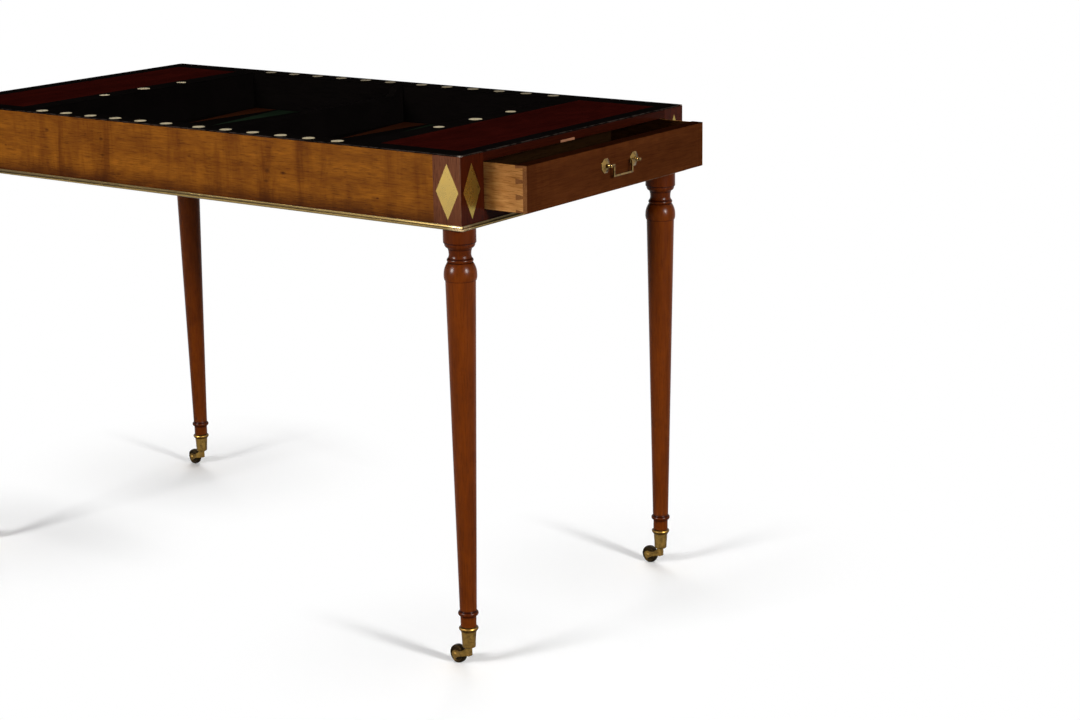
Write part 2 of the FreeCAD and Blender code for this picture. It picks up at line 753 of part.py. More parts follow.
def caster_cup():
    """The brass cup that sleeves the leg's spigot, beaded at its mouth."""
    bore = STEM_R + STEM_FIT
    heel = CUP_BOTTOM + CUP_HEEL_H
    bend = (CUP_HEEL_R - CUP_FOOT_R) * ROUND_MIDDLE
    return turned((bore, CUP_BOTTOM), [
        (CUP_FOOT_R, CUP_BOTTOM),
        (CUP_HEEL_R - bend, CUP_BOTTOM + bend, CUP_HEEL_R, heel),
        (CUP_NECK_R, CUP_NECK),
        (CUP_COLLAR_R, CUP_NECK + CUP_COLLAR_H),
        (CUP_COLLAR_R, CUP_BEAD_LOW),
        (CUP_BEAD_R, (CUP_BEAD_LOW + CUP_BEAD_HIGH) / 2, CUP_COLLAR_R, CUP_BEAD_HIGH),
        (CUP_MOUTH_R, CUP_TOP),
        (CUP_BORE_R, CUP_TOP),
        (CUP_BORE_FOOT_R, CUP_FLOOR),
        (bore, CUP_FLOOR),
    ])


def caster_horn():
    """The caster's horn: a square post whose two cheeks straddle the wheel."""
    post = HORN_HALF
    web = post + HORN_FLARE
    fork = CHEEK_START + HORN_FLARE
    end = TRAIL + BOSS_R + HORN_EASE
    upper = [
        (post, post), (HORN_EASE - post, web), (-CHEEK_START, CHEEK_OUT), (-end, CHEEK_OUT),
        (-end, CHEEK_IN), (-fork, CHEEK_IN), (-web, HORN_WEB),
    ]
    lower = [(x, -y) for x, y in reversed(upper)]
    plate = prism([V(x, y, 0) for x, y in upper + lower], V(0, 0, HORN_TOP))
    axle_z = WHEEL_R
    middle_x = -TRAIL / 2
    side = outline((post, HORN_TOP), [
        (post, HORN_FOOT),
        (post - HORN_FLARE, (HORN_FOOT + HORN_TOE) / 2, post / 2, HORN_TOE),
        (middle_x, HORN_TOE - HORN_ARCH, -TRAIL, axle_z - BOSS_R),
        (-TRAIL - BOSS_R, axle_z, -TRAIL, axle_z + BOSS_R),
        (middle_x, axle_z + BOSS_R + HORN_EASE, -web, HORN_TOP - HORN_WEB),
        (-post, HORN_TOP),
    ], lambda x, z: V(x, -CHEEK_OUT, z))
    body = plate.common(side.extrude(V(0, 2 * CHEEK_OUT, 0)))
    head_z = CUP_FLOOR + STEM_HEAD_GAP
    stem = Part.makeCylinder(STEM_R, head_z - HORN_TOP, V(0, 0, HORN_TOP))
    head = Part.makeCylinder(STEM_HEAD_R, STEM_HEAD_T, V(0, 0, head_z))
    eye = Part.makeCylinder(AXLE_R, 2 * CHEEK_OUT, V(-TRAIL, -CHEEK_OUT, axle_z), V(0, 1, 0))
    return body.fuse([stem, head]).removeSplitter().cut(eye)


def on_axle(shape):
    """Lays a body turned on Z along the wheel's axle."""
    shape.rotate(V(0, 0, 0), V(1, 0, 0), 90)
    return shape.translated(V(-TRAIL, 0, WHEEL_R))


def caster_axle():
    """The axle pin, with a low rivet head outside each cheek."""
    out = CHEEK_OUT + RIVET_T
    return on_axle(turned((0, -out), [
        (RIVET_R - RIVET_T, -out),
        (RIVET_R, -CHEEK_OUT),
        (AXLE_R, -CHEEK_OUT),
        (AXLE_R, CHEEK_OUT),
        (RIVET_R, CHEEK_OUT),
        (RIVET_R - RIVET_T, out),
        (0, out),
    ]))


def caster_wheel():
    """The wheel: a hub, a sunk web and a crowned tread."""
    half = WHEEL_T / 2
    bore = AXLE_R + AXLE_FIT
    tread = WHEEL_R - WHEEL_CROWN
    rim_in = WHEEL_R - WHEEL_RIM
    web = half - WHEEL_SINK
    right = [
        (tread, half),
        (rim_in + WHEEL_SLOPE, half),
        (rim_in, web),
        (HUB_R, web),
        (HUB_R - WHEEL_SLOPE, half),
        (bore, half),
    ]
    left = [(r, -z) for r, z in reversed(right)]
    return on_axle(turned(left[0], left[1:] + [(WHEEL_R, 0) + right[0]] + right[1:]))


def under_leg(shape, corner):
    """Turns a caster piece to its trailing direction under a named leg."""
    side_x, side_y = CORNERS[corner]
    placed = shape.copy()
    placed.rotate(V(0, 0, 0), V(0, 0, 1), TRAIL_TURN)
    return placed.translated(V(side_x * LEG_X, side_y * LEG_Y, 0))


def frame_nodes():
    """The aprons, blocks, rails and their brass."""
    back = apron()
    right_top = top_rail()
    right_bottom = bottom_rail()
    block = corner_block()
    nodes = {
        "back_apron": [back],
        "front_apron": [flip_y(back)],
        "right_top_rail": [right_top.cut(rail_slip())],
        "left_top_rail": [flip_x(right_top)],
        "top_rail_slip": [rail_slip()],
        "right_bottom_rail": [right_bottom],
        "left_bottom_rail": [flip_x(right_bottom)],
        "brass_moulding": moulding(),
        "brass_lozenges": [at_corner(piece, corner) for corner in CORNERS for piece in lozenges()],
    }
    for corner in CORNERS:
        nodes["corner_block_" + corner] = [at_corner(block, corner)]
    return nodes


def well_nodes():
    """The rim, panels, discs and the playing well."""
    odd, even = points()
    right_panel = end_panel()
    return {
        "long_rims": long_rims(),
        "end_rims": end_rims(),
        "well_bands": well_bands(),
        "right_end_panel": [right_panel],
        "left_end_panel": [flip_x(right_panel)],
        "bone_discs": bone_discs(),
        "well_linings": well_linings(),
        "well_end_walls": well_end_walls(),
        "well_floor": [well_floor()],
        "well_divider": [well_divider()],
        "red_points": odd,
        "green_points": even,
    }


def inner_nodes():
    """What carries the well's floor, the panels and the drawers."""
    return {
        "floor_cleats": floor_cleats(),
        "panel_bearers": panel_bearers(),
        "drawer_runners": drawer_runners(),
        "drawer_stops": drawer_stops(),
    }


def drawer_nodes():
    """The right drawer as photographed, and the left one shut."""
    nodes = {}
    for name, shapes in drawer_pieces().items():
        nodes["right_" + name] = [shape.translated(V(DRAWER_OPEN, 0, 0)) for shape in shapes]
        nodes["left_" + name] = [flip_x(shape) for shape in shapes]
    return nodes


def leg_nodes():
    """The four legs and everything on their casters."""
    one_leg = leg()
    cup = caster_cup()
    moving = {"caster_horn": caster_horn(), "caster_axle": caster_axle(), "caster_wheel": caster_wheel()}
    nodes = {"caster_cups": [under_leg(cup, corner) for corner in CORNERS]}
    for corner in CORNERS:
        nodes["leg_" + corner] = [under_leg(one_leg, corner)]
        for name, shape in moving.items():
            nodes[name + "_" + corner] = [under_leg(shape, corner)]
    return nodes


def main():
    """Builds every node and writes it to parts/."""
    os.makedirs("parts", exist_ok=True)
    nodes = {}
    for group in (frame_nodes(), well_nodes(), inner_nodes(), drawer_nodes(), leg_nodes()):
        nodes.update(group)
    for name, shapes in nodes.items():
        shape = shapes[0] if len(shapes) == 1 else Part.makeCompound(shapes)
        solids = len(shape.Solids)
        print(name, "solids", solids, "valid", shape.isValid(), "cm3", round(shape.Volume / 1000, 2))
        shape.exportStep("parts/" + name + ".step")
    print("nodes", len(nodes))


main()
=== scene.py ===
"""Looks of a mahogany tric-trac table: finishes, small iron screws, light, floor and camera."""
import logging
import math
from dataclasses import dataclass, field
from enum import Enum
from typing import ClassVar, Dict, List, Sequence, Tuple

import bmesh
import bpy
from mathutils import Matrix, Vector


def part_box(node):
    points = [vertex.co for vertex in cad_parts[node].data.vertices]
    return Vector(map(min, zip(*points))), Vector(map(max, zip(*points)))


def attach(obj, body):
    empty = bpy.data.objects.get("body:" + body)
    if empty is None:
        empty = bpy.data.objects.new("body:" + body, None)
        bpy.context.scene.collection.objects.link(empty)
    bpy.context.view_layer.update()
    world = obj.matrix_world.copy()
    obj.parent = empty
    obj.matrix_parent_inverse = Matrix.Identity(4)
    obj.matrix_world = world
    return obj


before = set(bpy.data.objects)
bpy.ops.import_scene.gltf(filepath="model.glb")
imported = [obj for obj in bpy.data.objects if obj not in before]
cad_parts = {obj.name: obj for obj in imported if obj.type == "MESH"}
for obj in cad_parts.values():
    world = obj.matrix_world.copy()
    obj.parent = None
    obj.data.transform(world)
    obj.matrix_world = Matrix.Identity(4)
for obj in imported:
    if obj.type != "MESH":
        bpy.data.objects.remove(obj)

log = logging.getLogger("tric_trac_table")
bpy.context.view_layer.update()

Colour = Tuple[float, float, float]
Place = Tuple[float, float, float]
Socket = bpy.types.NodeSocket
Value = Socket | float
Inputs = Dict[str | int, object]

# Sizes that the finishes follow, in metres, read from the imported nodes
RIM_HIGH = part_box("long_rims")[1]
HALF_L = RIM_HIGH.x
HALF_W = RIM_HIGH.y
TOP_Z = RIM_HIGH.z
FRAME_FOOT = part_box("corner_block_back_right")[0].z
CUP_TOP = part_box("caster_cups")[1].z
DRAWER_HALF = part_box("left_drawer_sides")[1].y
DRAWER_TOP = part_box("left_drawer_front")[1].z
LEG_LOW, LEG_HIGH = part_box("leg_back_right")
LEG_FOOT = ((LEG_LOW.x + LEG_HIGH.x) / 2, (LEG_LOW.y + LEG_HIGH.y) / 2, 0.0)

# Depths under a face at which that face's tone starts, both its own tone and painted shade and light, and the
# width of that change
END_DEPTH = 0.0005
DRAWER_DEPTH = 0.0006
INNER_DEPTH = 0.002
TINT_EDGE = 0.0004

# The row of discs beyond this line is painted darker: painted shade
FAR_DISCS = 0.2

# Heights of the grooves and beads turned on the legs and the caster cups
COLLAR_QUIRK = FRAME_FOOT - 0.0209
CAPITAL = FRAME_FOOT - 0.0235
OVOLO_QUIRK = FRAME_FOOT - 0.0300
RING_TOP = FRAME_FOOT - 0.0431
RING_QUIRK = FRAME_FOOT - 0.0483
BULB_FOOT = FRAME_FOOT - 0.0728
BEAD_TOP = CUP_TOP + 0.0229
BEAD = CUP_TOP + 0.0193
BEAD_FOOT = CUP_TOP + 0.0159
CUP_BEAD_FOOT = CUP_TOP - 0.0061
CUP_BEAD = CUP_TOP - 0.0032
CUP_MOUTH = CUP_TOP - 0.0002

# An arris of this width is left as the solid has it
CRISP = 0.0
WHITE = (1.0, 1.0, 1.0, 1.0)


class LampUse(Enum):
    """What a lamp is for."""

    LIGHT = "light"
    HIGHLIGHT = "highlight"


class Along(Enum):
    """A direction in the frame: of a board's fibres, or out of a face."""

    X = 0
    Y = 1
    Z = 2

    def scales(self, along: float, across: float) -> List[float]:
        """One value for each axis: the first in this direction, the second in the others."""
        return [along if axis == self.value else across for axis in range(3)]


class SocketKind(Enum):
    """The type of a node group's socket."""

    VECTOR = "NodeSocketVector"
    COLOUR = "NodeSocketColor"
    NUMBER = "NodeSocketFloat"


VECTOR, COLOUR, NUMBER = SocketKind


class Effect(Enum):
    """The shared node groups, by name."""

    GRAIN = "wood_grain"
    WEAR = "arris_wear"
    PATINA = "patina"
    FACE_TINT = "face_tint"
    GROOVE_DIRT = "groove_dirt"
    RUBBED_CORNER = "rubbed_corner"


@dataclass(frozen=True)
class Cloud:
    """A noise pattern, and the span of its values over which its mask goes from none to full."""

    scale: float
    detail: float
    roughness: float
    distortion: float = 0.0
    low: float = 0.0
    high: float = 1.0


# Patterns in the woods
FIGURE = Cloud(22.0, 3.0, 0.5, 0.6, 0.32, 0.68)
BANDS = Cloud(420.0, 4.0, 0.62, 0.35, 0.32, 0.68)
PORES = Cloud(760.0, 3.0, 0.7, 0.0, 0.5, 0.66)
MOTTLE = Cloud(0.55, 4.0, 0.6, 0.8, 0.36, 0.66)
STAINS = Cloud(1.0, 4.0, 0.6, 0.5, 0.46, 0.72)
SMEARS = Cloud(14.0, 4.0, 0.6)
FIGURE_SHARE = 0.5
BAND_RELIEF = 0.25
KNOT_CHANCE = (0.45, 1.0)
KNOT_RADII = (0.001, 0.24)
KNOTS_ALONG, KNOTS_ACROSS = 34.0, 70.0
STAINS_ALONG, STAINS_ACROSS = 30.0, 5.0

# Patterns of wear, of a darker band at the foot and of tarnish, with painted highlights at the corners and
# painted shade in the grooves
RAGGED = Cloud(90.0, 4.0, 0.5, 0.0, 0.34, 0.66)
RAGGED_REACH = (0.25, 1.7)
WEAR_REACH = 0.0016
DARKER_FOOT = Cloud(28.0, 4.0, 0.6)
DARKER_FOOT_RISE = 0.034
DARKER_FOOT_SWAY = 0.8
DARKER_FOOT_SPAN = (-0.4, 0.6)
TARNISH = Cloud(1.0, 5.0, 0.62, 0.0, 0.36, 0.7)
SPECKS = Cloud(900.0, 2.0, 0.55, 0.0, 0.55, 0.75)
SPECK_SHARE = 0.18
WEAR_AND_GLINT_MARKS = Cloud(420.0, 3.0, 0.6, 0.0, 0.36, 0.56)
WORN_HIGHLIT_CORE = 0.4
GROOVE_CORE = 0.3

# The Mix node's sockets for colours, which share their names with those for other types
MIX_FACTOR, MIX_FIRST, MIX_SECOND, MIX_RESULT = 0, 6, 7, 2


class NodeTree:
    """A short way to add and link shader nodes in one tree."""

    def __init__(self, tree: bpy.types.NodeTree) -> None:
        """Keeps the tree to build in."""
        self.tree = tree

    def add(self, kind: str, inputs: Inputs | None = None, **settings: object) -> bpy.types.Node:
        """Adds a node, sets its properties and fills or links its inputs.

        Args:
            kind: The node's bl_idname.
            inputs: Values or output sockets, by input name or index.
            **settings: Node properties.

        Returns:
            The new node.
        """
        node = self.tree.nodes.new(kind)
        for name, value in settings.items():
            setattr(node, name, value)
        self.fill(node, inputs or {})
        return node

    def fill(self, node: bpy.types.Node, inputs: Inputs) -> None:
        """Fills or links a node's inputs.

        Args:
            node: The node to fill.
            inputs: Values or output sockets, by input name or index.
        """
        for name, value in inputs.items():
            if isinstance(value, Socket):
                self.tree.links.new(value, node.inputs[name])
            else:
                node.inputs[name].default_value = value

    def group(self, group: bpy.types.NodeTree, inputs: Inputs) -> bpy.types.Node:
        """Places a node group with its own values."""
        return self.add("ShaderNodeGroup", inputs, node_tree=group)

    def math(self, operation: str, *values: Value, clamp: bool = False) -> Socket:
        """Adds a Math node and returns its output."""
        node = self.add("ShaderNodeMath", dict(enumerate(values)), operation=operation, use_clamp=clamp)
        return node.outputs[0]

    def gap(self, first: Value, second: Value) -> Socket:
        """The distance between two values."""
        return self.math("ABSOLUTE", self.math("SUBTRACT", first, second))

    def vector(self, operation: str, *values: object) -> Socket:
        """Adds a Vector Math node and returns its vector."""
        node = self.add("ShaderNodeVectorMath", dict(enumerate(values)), operation=operation)
        return node.outputs["Vector"]

    def measure(self, operation: str, *values: object) -> Socket:
        """Adds a Vector Math node and returns its number."""
        node = self.add("ShaderNodeVectorMath", dict(enumerate(values)), operation=operation)
        return node.outputs["Value"]

    def mix(self, factor: Value, first: object, second: object, blend: str = "MIX") -> Socket:
        """Mixes two colours and returns the result."""
        inputs = {MIX_FACTOR: factor, MIX_FIRST: first, MIX_SECOND: second}
        return self.add("ShaderNodeMix", inputs, data_type="RGBA", blend_type=blend).outputs[MIX_RESULT]

    def tint(self, mask: Socket, colour: Socket, tint: Socket) -> Socket:
        """Multiplies a colour by a tint where the mask is 1."""
        return self.mix(mask, colour, self.mix(1.0, colour, tint, "MULTIPLY"))

    def span(self, value: Socket, low: Value, high: Value, start: float = 0.0, end: float = 1.0) -> Socket:
        """Maps a value from one span to another, smoothly and clamped."""
        inputs = dict(enumerate((value, low, high, start, end)))
        return self.add("ShaderNodeMapRange", inputs, interpolation_type="SMOOTHSTEP").outputs[0]

    def noise(self, vector: Socket, cloud: Cloud) -> Socket:
        """Adds a noise texture and returns its value."""
        node = self.add("ShaderNodeTexNoise", {
            "Vector": vector, "Scale": cloud.scale, "Detail": cloud.detail, "Roughness": cloud.roughness,
            "Distortion": cloud.distortion})
        return node.outputs[0]

    def mask(self, vector: Socket, cloud: Cloud) -> Socket:
        """Adds a noise texture and returns its mask."""
        return self.span(self.noise(vector, cloud), cloud.low, cloud.high)


def rgba(colour: Colour) -> Tuple[float, float, float, float]:
    """A colour with full alpha."""
    return (*colour, 1.0)


class SharedEffects:
    """The node groups that finishes place: grain, wear, patina and changes of tone by place, some of them
    painted shade and light.
    """

    def __init__(self) -> None:
        """Builds each group once."""
        self.groups: Dict[Effect, bpy.types.NodeTree] = {
            Effect.GRAIN: self.build_grain(),
            Effect.WEAR: self.build_wear(),
            Effect.PATINA: self.build_patina(),
            Effect.FACE_TINT: self.build_face_tint(),
            Effect.GROOVE_DIRT: self.build_groove_dirt_and_shade(),
            Effect.RUBBED_CORNER: self.build_worn_highlit_corner(),
        }

    @staticmethod
    def start(effect: Effect, inputs: Dict[str, SocketKind], outputs: Dict[str, SocketKind]
              ) -> Tuple[NodeTree, bpy.types.NodeOutputs, bpy.types.Node]:
        """Makes an empty group with named sockets.

        Args:
            effect: The effect that the group gives.
            inputs: The kind of each input, by name.
            outputs: The kind of each output, by name.

        Returns:
            The tree helper, the sockets that carry the inputs, and the output node.
        """
        group = bpy.data.node_groups.new(effect.value, "ShaderNodeTree")
        for side, sockets in (("INPUT", inputs), ("OUTPUT", outputs)):
            for label, kind in sockets.items():
                group.interface.new_socket(label, in_out=side, socket_type=kind.value)
        tree = NodeTree(group)
        return tree, tree.add("NodeGroupInput").outputs, tree.add("NodeGroupOutput")

    def build_grain(self) -> bpy.types.NodeTree:
        """Wood grain: figure, fibres, mottle, stains across the grain, dark pores and pin knots.

        Returns:
            The node group, which puts out a colour, a roughness and a height.
        """
        tree, given, out = self.start(Effect.GRAIN, {
            "Vector": VECTOR, "Fibres": VECTOR, "Knot Spread": VECTOR, "Stain Spread": VECTOR,
            "Pale": COLOUR, "Dark": COLOUR, "Pore": COLOUR, "Figure": NUMBER, "Pores": NUMBER,
            "Knots": NUMBER, "Mottle": NUMBER, "Stain": NUMBER, "Smooth": NUMBER, "Smear": NUMBER,
        }, {"Color": COLOUR, "Roughness": NUMBER, "Height": NUMBER})
        place = given["Vector"]
        fibres = tree.vector("MULTIPLY", place, given["Fibres"])
        spread = tree.vector("MULTIPLY", place, given["Knot Spread"])
        across = tree.vector("MULTIPLY", place, given["Stain Spread"])
        bands = tree.mask(fibres, BANDS)
        figure = tree.math("ADD", tree.math("MULTIPLY", tree.mask(fibres, FIGURE), FIGURE_SHARE),
                           tree.math("MULTIPLY", bands, 1.0 - FIGURE_SHARE))
        tone = tree.math("MULTIPLY", figure, given["Figure"], clamp=True)
        wood = tree.mix(tone, given["Pale"], given["Dark"])
        mottle = tree.math("MULTIPLY", tree.mask(spread, MOTTLE), given["Mottle"])
        wood = tree.mix(mottle, wood, given["Dark"])
        stain = tree.math("MULTIPLY", tree.mask(across, STAINS), given["Stain"])
        wood = tree.mix(stain, wood, given["Dark"])
        pore = tree.math("MULTIPLY", tree.mask(fibres, PORES), given["Pores"])
        wood = tree.mix(pore, wood, given["Pore"])
        cell = tree.add("ShaderNodeTexVoronoi", {"Vector": spread, "Scale": 1.0, "Randomness": 1.0}).outputs
        chance = tree.add("ShaderNodeSeparateColor", {0: cell["Color"]}).outputs[0]
        radius = tree.span(chance, *KNOT_CHANCE, *KNOT_RADII)
        spot = tree.math("SUBTRACT", 1.0, tree.math("DIVIDE", cell["Distance"], radius), clamp=True)
        wood = tree.mix(tree.math("MULTIPLY", spot, given["Knots"]), wood, given["Pore"])
        smear = tree.math("MULTIPLY", tree.noise(place, SMEARS), given["Smear"])
        tree.fill(out, {
            "Color": wood,
            "Roughness": tree.math("ADD", given["Smooth"], smear),
            "Height": tree.math("SUBTRACT", tree.math("MULTIPLY", bands, BAND_RELIEF), pore),
        })
        return tree.tree

    def build_wear(self) -> bpy.types.NodeTree:
        """Ragged wear along the outer arrises of the table's box, and a darker band along its foot.

        Returns:
            The node group, which puts out a colour.
        """
        tree, given, out = self.start(Effect.WEAR, {
            "Vector": VECTOR, "Color": COLOUR, "Worn": COLOUR, "Wear": NUMBER,
            "Darker Foot Tint": COLOUR, "Darker Foot": NUMBER,
        }, {"Color": COLOUR})
        place = given["Vector"]
        x, y, z = tree.add("ShaderNodeSeparateXYZ", {0: place}).outputs
        from_end = tree.gap(tree.math("ABSOLUTE", x), HALF_L)
        from_side = tree.gap(tree.math("ABSOLUTE", y), HALF_W)
        upright = tree.math("MAXIMUM", from_end, from_side)
        level = tree.math("MAXIMUM", tree.math("MINIMUM", from_end, from_side), tree.gap(z, TOP_Z))
        nearest = tree.math("MINIMUM", upright, level)
        ragged = tree.span(tree.noise(place, RAGGED), RAGGED.low, RAGGED.high, *RAGGED_REACH)
        reach = tree.math("MULTIPLY", WEAR_REACH, ragged)
        worn = tree.math("SUBTRACT", 1.0, tree.math("DIVIDE", nearest, reach), clamp=True)
        height = tree.math("DIVIDE", tree.math("SUBTRACT", z, FRAME_FOOT), DARKER_FOOT_RISE)
        uneven = tree.math("SUBTRACT", height, tree.math("MULTIPLY", tree.noise(place, DARKER_FOOT), DARKER_FOOT_SWAY))
        darker_foot = tree.math("MULTIPLY", tree.span(uneven, *DARKER_FOOT_SPAN, 1.0, 0.0), given["Darker Foot"])
        darkened = tree.tint(darker_foot, given["Color"], given["Darker Foot Tint"])
        tree.fill(out, {"Color": tree.mix(tree.math("MULTIPLY", worn, given["Wear"]), darkened, given["Worn"])})
        return tree.tree

    def build_patina(self) -> bpy.types.NodeTree:
        """Cloudy tarnish and fine rubbing marks.

        Returns:
            The node group, which puts out a colour, a roughness and a height.
        """
        tree, given, out = self.start(Effect.PATINA, {
            "Vector": VECTOR, "Clean": COLOUR, "Tarnish": COLOUR, "Amount": NUMBER, "Scale": NUMBER,
            "Smooth": NUMBER, "Rough": NUMBER,
        }, {"Color": COLOUR, "Roughness": NUMBER, "Height": NUMBER})
        place = given["Vector"]
        speck = tree.noise(place, SPECKS)
        spots = tree.math("MULTIPLY", tree.span(speck, SPECKS.low, SPECKS.high), SPECK_SHARE)
        scaled = tree.vector("MULTIPLY", place, given["Scale"])
        clouds = tree.math("MULTIPLY", tree.mask(scaled, TARNISH), given["Amount"])
        mask = tree.math("ADD", clouds, spots, clamp=True)
        spread = tree.math("SUBTRACT", given["Rough"], given["Smooth"])
        tree.fill(out, {
            "Color": tree.mix(mask, given["Clean"], given["Tarnish"]),
            "Roughness": tree.math("ADD", given["Smooth"], tree.math("MULTIPLY", spread, mask)),
            "Height": speck,
        })
        return tree.tree

    def build_face_tint(self) -> bpy.types.NodeTree:
        """A tint on the faces beyond a distance from the middle, or within it.

        Returns:
            The node group, which puts out a colour.
        """
        tree, given, out = self.start(Effect.FACE_TINT, {
            "Vector": VECTOR, "Color": COLOUR, "Tint": COLOUR, "Axis": VECTOR, "Start": NUMBER,
            "Within": NUMBER, "Mirrored": NUMBER,
        }, {"Color": COLOUR})
        along = tree.measure("DOT_PRODUCT", given["Vector"], given["Axis"])
        mirrored = tree.math("MULTIPLY", tree.math("ABSOLUTE", along), given["Mirrored"])
        edge = tree.math("SUBTRACT", given["Start"], TINT_EDGE)
        beyond = tree.span(tree.math("MAXIMUM", along, mirrored), edge, given["Start"])
        mask = tree.gap(beyond, given["Within"])
        tree.fill(out, {"Color": tree.tint(mask, given["Color"], given["Tint"])})
        return tree.tree

    def build_groove_dirt_and_shade(self) -> bpy.types.NodeTree:
        """Old polish and dirt settled in a turned groove at one height, and painted shade there.

        Returns:
            The node group, which puts out a colour.
        """
        tree, given, out = self.start(Effect.GROOVE_DIRT, {
            "Vector": VECTOR, "Color": COLOUR, "Tint": COLOUR, "Height": NUMBER, "Half": NUMBER,
        }, {"Color": COLOUR})
        split = tree.add("ShaderNodeSeparateXYZ", {0: given["Vector"]}).outputs
        core = tree.math("MULTIPLY", given["Half"], GROOVE_CORE)
        mask = tree.span(tree.gap(split["Z"], given["Height"]), core, given["Half"], 1.0, 0.0)
        tree.fill(out, {"Color": tree.tint(mask, given["Color"], given["Tint"])})
        return tree.tree

    def build_worn_highlit_corner(self) -> bpy.types.NodeTree:
        """A corner rubbed pale by handling and painted with a highlight, the same at all four corners.

        Returns:
            The node group, which puts out a colour.
        """
        tree, given, out = self.start(Effect.RUBBED_CORNER, {
            "Vector": VECTOR, "Color": COLOUR, "Pale": COLOUR, "Corner": VECTOR, "Radius": NUMBER,
        }, {"Color": COLOUR})
        away = tree.measure("DISTANCE", tree.vector("ABSOLUTE", given["Vector"]), given["Corner"])
        core = tree.math("MULTIPLY", given["Radius"], WORN_HIGHLIT_CORE)
        near = tree.span(away, core, given["Radius"], 1.0, 0.0)
        mask = tree.math("MULTIPLY", near, tree.mask(given["Vector"], WEAR_AND_GLINT_MARKS))
        tree.fill(out, {"Color": tree.mix(mask, given["Color"], given["Pale"])})
        return tree.tree


@dataclass(frozen=True)
class ToneChange:
    """A change of tone at some place on a piece."""

    effect: ClassVar[Effect]

    def values(self) -> Inputs:
        """The values of the effect's own inputs."""
        raise NotImplementedError

    def apply(self, effects: SharedEffects, tree: NodeTree, place: Socket, colour: Socket) -> Socket:
        """Adds the change to a material and returns the new colour."""
        inputs = {"Vector": place, "Color": colour, **self.values()}
        return tree.group(effects.groups[self.effect], inputs).outputs["Color"]


@dataclass(frozen=True)
class FaceTint(ToneChange):
    """A change of tone on the faces beyond, or within, a distance from the middle."""

    axis: Along
    start: float
    colour: Colour
    within: bool = False
    mirrored: bool = True
    effect = Effect.FACE_TINT

    def values(self) -> Inputs:
        """The values of the tint's own inputs."""
        return {"Tint": rgba(self.colour), "Axis": self.axis.scales(1.0, 0.0), "Start": self.start,
                "Within": float(self.within), "Mirrored": float(self.mirrored)}


@dataclass(frozen=True)
class Groove(ToneChange):
    """Dirt and painted shade in a turned groove at one height."""

    height: float
    half: float = 0.0016
    colour: Colour = (0.35, 0.28, 0.25)
    effect = Effect.GROOVE_DIRT

    def values(self) -> Inputs:
        """The values of the groove's own inputs."""
        return {"Tint": rgba(self.colour), "Height": self.height, "Half": self.half}


@dataclass(frozen=True)
class WornHighlitCorner(ToneChange):
    """The four corners at one height, rubbed pale and painted with a highlight."""

    corner: Place
    radius: float
    colour: Colour
    effect = Effect.RUBBED_CORNER

    def values(self) -> Inputs:
        """The values of the corners' own inputs."""
        return {"Pale": rgba(self.colour), "Corner": self.corner, "Radius": self.radius}


@dataclass(frozen=True)
class Finish:
    """What woods and metals share: a name, changes of tone and a fine relief."""

    name: str
    changes: Tuple[ToneChange, ...] = field(default=(), kw_only=True)
    bump: float = field(default=0.12, kw_only=True)
    bump_depth: float = field(default=0.0004, kw_only=True)

    def surface(self, effects: SharedEffects, tree: NodeTree, place: Socket) -> bpy.types.Node:
        """Places the group that gives the finish its colour, roughness and height."""
        raise NotImplementedError

    def gloss(self) -> Inputs:
        """The shader's own constants."""
        raise NotImplementedError

    def worn(self, effects: SharedEffects, tree: NodeTree, place: Socket, colour: Socket) -> Socket:
        """The colour after wear, which is the same where the finish has none."""
        return colour

    def build(self, effects: SharedEffects) -> bpy.types.Material:
        """Makes the material.

        Args:
            effects: The shared node groups.

        Returns:
            The finished material.
        """
        material = bpy.data.materials.new(self.name)
        material.use_nodes = True
        tree = NodeTree(material.node_tree)
        place = tree.add("ShaderNodeTexCoord").outputs["Object"]
        surface = self.surface(effects, tree, place).outputs
        colour = self.worn(effects, tree, place, surface["Color"])
        for change in self.changes:
            colour = change.apply(effects, tree, place, colour)
        relief = {"Height": surface["Height"], "Strength": self.bump, "Distance": self.bump_depth}
        tree.fill(material.node_tree.nodes["Principled BSDF"], {
            "Base Color": colour, "Roughness": surface["Roughness"],
            "Normal": tree.add("ShaderNodeBump", relief).outputs[0], **self.gloss()})
        return material


